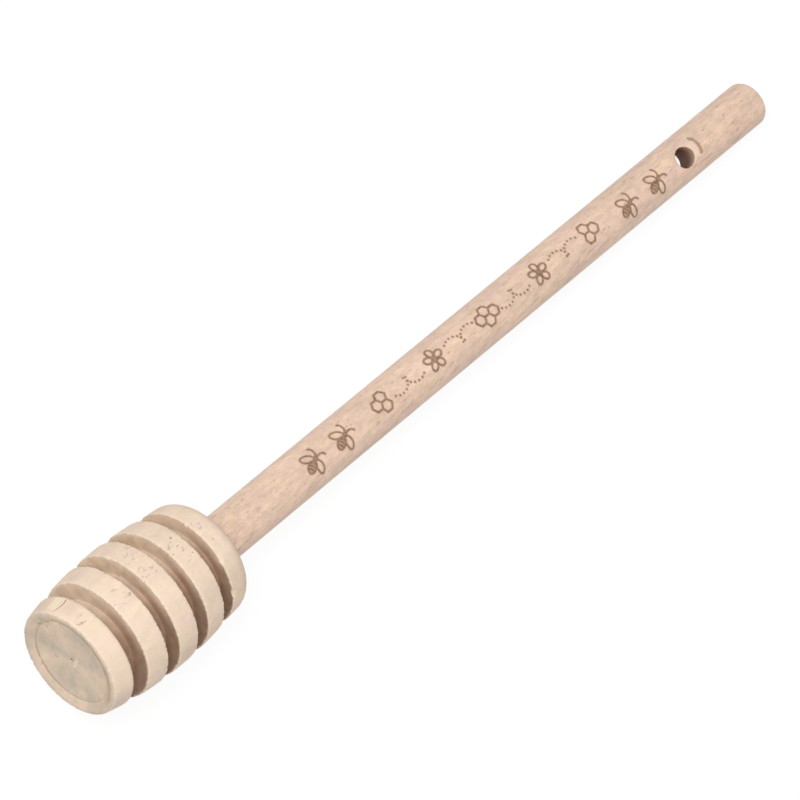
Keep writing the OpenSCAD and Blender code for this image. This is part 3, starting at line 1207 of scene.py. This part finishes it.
# Painted shade: the hole's wall is browner the deeper it lies
bore_shade = mark_mask(tree, "bore_depth", 0.05, 0.85)
bore_colour = blend(tree, bore_shade, tint(238, 208, 184), tint(172, 142, 130))
bore_colour = shade(tree, bore_colour, centred_sum(tree, [(rod_grain, 0.6)]))
colour = blend(tree, bore_mask, colour, bore_colour)
tree.links.new(colour, shader.inputs["Base Color"])

# %% Handle wood: the feel of the surface
# Burnt strokes are rougher, and the hole's torn wall has almost no sheen
relief = calc(tree, "MULTIPLY", rod_figure.outputs["Fibres"], 0.8)
relief = calc(tree, "SUBTRACT", relief, calc(tree, "MULTIPLY", dashes.outputs["Mask"], 0.9))
relief = calc(tree, "ADD", relief, calc(tree, "MULTIPLY", rod_grain, 0.4))
relief = calc(tree, "ADD", relief, calc(tree, "MULTIPLY", burn_mask, rod_grain))
tree.links.new(bump_of(tree, relief, 0.00006, 0.8), shader.inputs["Normal"])
gloss = calc(tree, "ADD", 0.40, calc(tree, "MULTIPLY", rod_grain, 0.12))
gloss = calc(tree, "ADD", gloss, calc(tree, "MULTIPLY", burn_mask, 0.25))
gloss = calc(tree, "ADD", gloss, calc(tree, "MULTIPLY", bore_mask, 0.4))
tree.links.new(gloss, shader.inputs["Roughness"])
sheen = calc(tree, "SUBTRACT", 0.5, calc(tree, "MULTIPLY", bore_mask, 0.4))
tree.links.new(sheen, shader.inputs["Specular IOR Level"])
handle.data.materials.append(handle_wood)
print("nodes in the handle's wood:", len(tree.nodes))

# %% [markdown]
# ## The glue
# The dried glue is hidden in the joint. It keeps its measured solid and only gets a
# material: yellowish, a little glossy, with a wavy skin.

# %% Dried glue
dried_glue, tree, shader, place = start_material("dried glue")
glue_grain = use_group(tree, grain, {"Place": place, "Size": 1.4})
glue_fine = use_group(tree, grain, {"Place": place, "Size": 0.25})
colour = blend(tree, glue_grain.outputs["Grain"], tint(226, 208, 160), tint(206, 182, 128))
colour = shade(tree, colour, centred_sum(tree, [(glue_fine.outputs["Grain"], 0.12)]))
tree.links.new(colour, shader.inputs["Base Color"])
tree.links.new(bump_of(tree, glue_grain.outputs["Grain"], 0.0001, 0.6), shader.inputs["Normal"])
tree.links.new(fade(tree, glue_fine.outputs["Grain"], 0.2, 0.8, 0.3, 0.5), shader.inputs["Roughness"])
glue_mesh = frame["nodes"]["glue_bond"].data
glue_mesh.materials.clear()
glue_mesh.materials.append(dried_glue)
print("materials:", [material.name for material in bpy.data.materials])

# %% [markdown]
# ## Floor, light and background
# The dipper lies on a white table. To the camera the floor is mostly its own white,
# and keeps a part of the light that falls on it, so the shadow stays but is faint.
# One large soft lamp gives the wood its shape and the pale sky fills the shadows.

# %% Floor
white_floor = bpy.data.materials.new("white floor")
white_floor.use_nodes = True
tree = white_floor.node_tree
paper = tree.nodes["Principled BSDF"]
floor_bounce = (0.65, 0.65, 0.65, 1.0)
floor_white = (0.97, 0.97, 0.97, 1.0)
glow_strength = 1.04
glow_share = 0.85
floor_half = 3.0
paper.inputs["Roughness"].default_value = 0.9
paper.inputs["Specular IOR Level"].default_value = 0.0
glow = add_node(tree, "ShaderNodeEmission", {"Color": (1.0, 1.0, 1.0, 1.0), "Strength": glow_strength})
rays, seen = seen_directly(tree)
paper_colour = blend(tree, rays.outputs["Is Camera Ray"], floor_bounce, floor_white)
tree.links.new(paper_colour, paper.inputs["Base Color"])
mixed = add_node(tree, "ShaderNodeMixShader", {0: calc(tree, "MULTIPLY", seen, glow_share),
                 1: paper.outputs["BSDF"], 2: glow.outputs["Emission"]})
tree.links.new(mixed.outputs["Shader"], tree.nodes["Material Output"].inputs["Surface"])

floor_bm = bmesh.new()
bmesh.ops.create_grid(floor_bm, x_segments=1, y_segments=1, size=floor_half)
floor = as_object(floor_bm, "floor")
floor.data.materials.append(white_floor)
print("floor in metres:", [round(side, 1) for side in floor.dimensions])


# %% Lamp and sky
def lamp(name, direction, distance, size, power):
    """A square soft lamp that looks at the middle of the dipper."""
    data = bpy.data.lights.new(name, "AREA")
    data.size = size
    data.energy = power
    holder = bpy.data.objects.new(name, data)
    holder.location = Vector(direction).normalized() * distance
    holder.rotation_euler = (-holder.location).to_track_quat("-Z", "Y").to_euler()
    bpy.context.scene.collection.objects.link(holder)
    print(name, "gives", power, "watts from", round(holder.location.z, 2), "metres up")


lamp("soft lamp", (-0.48, 0.22, 0.85), 1.4, 0.55, 9.3)

sky = bpy.data.worlds.new("studio")
bpy.context.scene.world = sky
sky.use_nodes = True
tree = sky.node_tree
fill = tree.nodes["Background"]
fill.inputs["Color"].default_value = (1.0, 1.0, 1.0, 1.0)
fill.inputs["Strength"].default_value = 0.54
backdrop = add_node(tree, "ShaderNodeBackground", {"Color": (1.0, 1.0, 1.0, 1.0), "Strength": 1.0})
rays, seen = seen_directly(tree)
mixed = add_node(tree, "ShaderNodeMixShader", {0: seen, 1: fill.outputs[0], 2: backdrop.outputs[0]})
tree.links.new(mixed.outputs["Shader"], tree.nodes["World Output"].inputs["Surface"])
